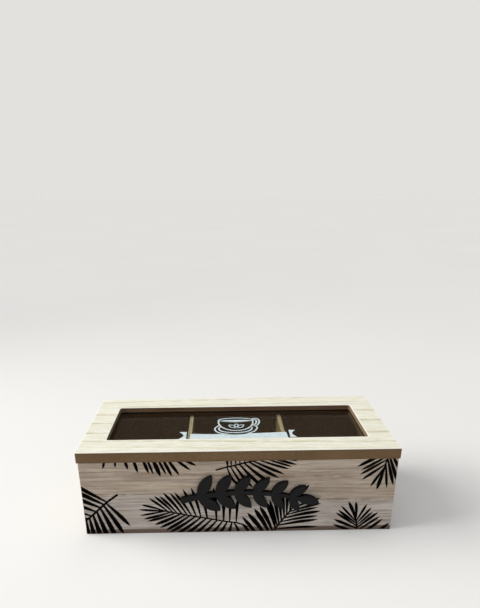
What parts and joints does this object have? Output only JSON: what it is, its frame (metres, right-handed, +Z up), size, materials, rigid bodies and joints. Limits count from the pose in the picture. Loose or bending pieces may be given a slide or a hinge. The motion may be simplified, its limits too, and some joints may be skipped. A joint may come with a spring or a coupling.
{
  "type": "tea bag box",
  "caption": "Rectangular veneered tea bag box with upright compartments, a leaf-print front and a hinged glass-window lid.",
  "frame": {"origin": "centre of the flat underside of the box", "axes": "+X along the box's length to the right seen from the printed front, +Y to the hinged back, +Z up"},
  "size_m": [0.24, 0.1014, 0.0726],
  "materials": {
    "raw_mdf": "bare sawn MDF edge and face, matt brown",
    "greige_veneer": "fine straight-grained grey-beige veneer, matt",
    "pale_veneer": "pale cream straight-grained veneer, matt",
    "divider_ply": "thin pale plywood, bare",
    "bead_wood": "thin bare wooden strip",
    "window_glass": "clear float glass",
    "black_painted_board": "thin board painted satin black",
    "black_ink": "black screen print on the veneer",
    "white_ink": "white screen print on the glass",
    "hinge_brass": "brass-plated pressed steel",
    "screw_brass": "brass-plated countersunk screw",
    "pin_steel": "bright steel wire",
    "brad_steel": "bright steel brad"
  },
  "bodies": {
    "box": {"front_panel": "raw_mdf", "back_panel": "raw_mdf", "left_panel": "raw_mdf", "right_panel": "raw_mdf", "bottom_panel": "raw_mdf", "bottom_brads": "brad_steel", "front_veneer": "greige_veneer", "back_veneer": "greige_veneer", "left_veneer": "greige_veneer", "right_veneer": "greige_veneer", "left_divider": "divider_ply", "right_divider": "divider_ply", "sprig_ornament": "black_painted_board", "left_hinge_pin": "pin_steel", "right_hinge_pin": "pin_steel", "left_hinge_box_leaf": "hinge_brass", "right_hinge_box_leaf": "hinge_brass", "left_hinge_box_screws": "screw_brass", "right_hinge_box_screws": "screw_brass"},
    "lid": {"lid_board": "raw_mdf", "lid_veneer": "pale_veneer", "window_pane": "window_glass", "glazing_bead_front": "bead_wood", "glazing_bead_back": "bead_wood", "glazing_bead_left": "bead_wood", "glazing_bead_right": "bead_wood", "left_hinge_lid_leaf": "hinge_brass", "right_hinge_lid_leaf": "hinge_brass", "left_hinge_lid_screws": "screw_brass", "right_hinge_lid_screws": "screw_brass"}
  },
  "joints": [
    {"name": "lid_hinge", "type": "hinge", "parent": "box", "child": "lid", "pos_m": [0, 0.0493, 0.064], "axis": [-1, 0, 0], "range_deg": [0, 180]}
  ]
}
